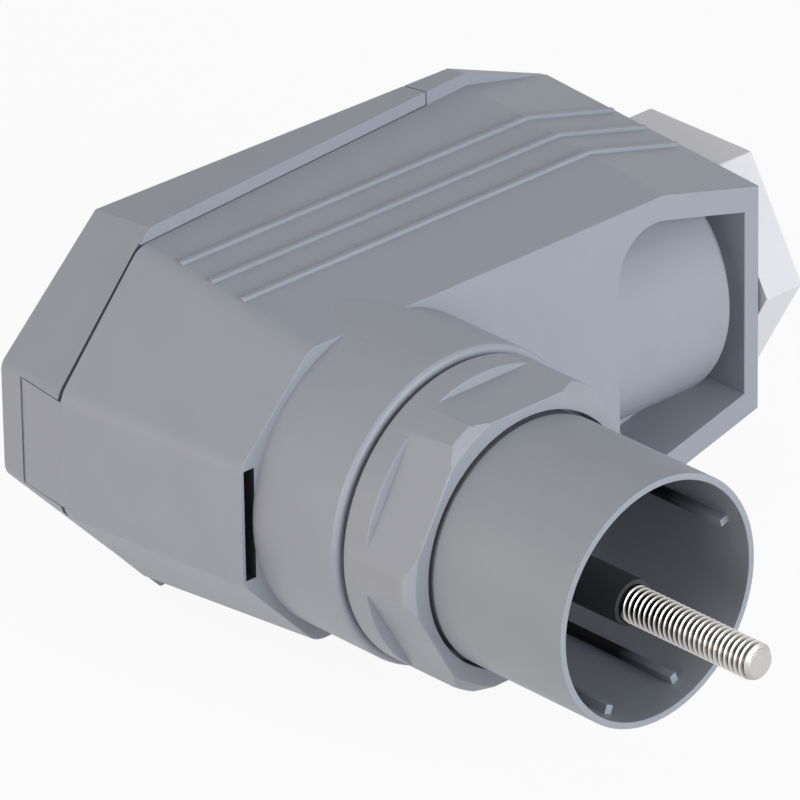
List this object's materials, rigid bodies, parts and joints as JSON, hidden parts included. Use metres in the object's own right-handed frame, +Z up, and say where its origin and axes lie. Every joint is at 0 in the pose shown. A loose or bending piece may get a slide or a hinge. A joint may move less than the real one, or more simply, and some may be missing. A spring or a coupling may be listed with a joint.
{
  "type": "angled electrical plug",
  "caption": "Angled electrical plug with a tapered moulded housing, union nut, round contact sleeve, captive centre screw and a hexagon gland screw at the cable entry.",
  "frame": {"origin": "centre of the mouth, on the mating axis", "axes": "+X out of the mouth along the mating axis, +Y towards the cable entry, +Z up"},
  "size_m": [0.09, 0.0813, 0.0422],
  "materials": {
    "grey_plastic": "satin",
    "sleeve_plastic": "satin",
    "nut_plastic": "satin",
    "pale_plastic": "satin",
    "dark_plastic": "matt",
    "plated_steel": "plated",
    "contact_brass": "turned",
    "seal_rubber": "matt"
  },
  "bodies": {
    "plug_body": {"housing": "grey_plastic", "rear_cover": "grey_plastic", "cover_gasket": "seal_rubber", "cover_screws": "plated_steel", "contact_sleeve": "sleeve_plastic", "sleeve_gasket": "seal_rubber", "contact_carrier": "dark_plastic", "contact_1": "contact_brass", "contact_2": "contact_brass", "contact_3": "contact_brass", "earth_contact": "contact_brass", "terminal_screw_1": "plated_steel", "terminal_screw_2": "plated_steel", "terminal_screw_3": "plated_steel", "terminal_screw_4": "plated_steel", "screw_seal": "seal_rubber", "gland_washer": "plated_steel", "gland_seal": "seal_rubber"},
    "ring_nut": {"union_nut": "nut_plastic"},
    "fixing_screw": {"central_screw": "plated_steel", "screw_washer": "plated_steel", "screw_clip": "plated_steel"},
    "pressure_screw": {"gland_screw": "pale_plastic"}
  },
  "joints": [
    {"name": "ring_nut_turn", "type": "hinge", "parent": "plug_body", "child": "ring_nut", "pos_m": [-0.0233, 0, 0], "axis": [1, 0, 0], "continuous": true},
    {"name": "fixing_screw_turn", "type": "hinge", "parent": "plug_body", "child": "fixing_screw", "pos_m": [0, 0, -0.0015], "axis": [1, 0, 0], "continuous": true},
    {"name": "pressure_screw_turn", "type": "hinge", "parent": "plug_body", "child": "pressure_screw", "pos_m": [-0.0545, 0.055, 0], "axis": [0, 1, 0], "continuous": true}
  ]
}
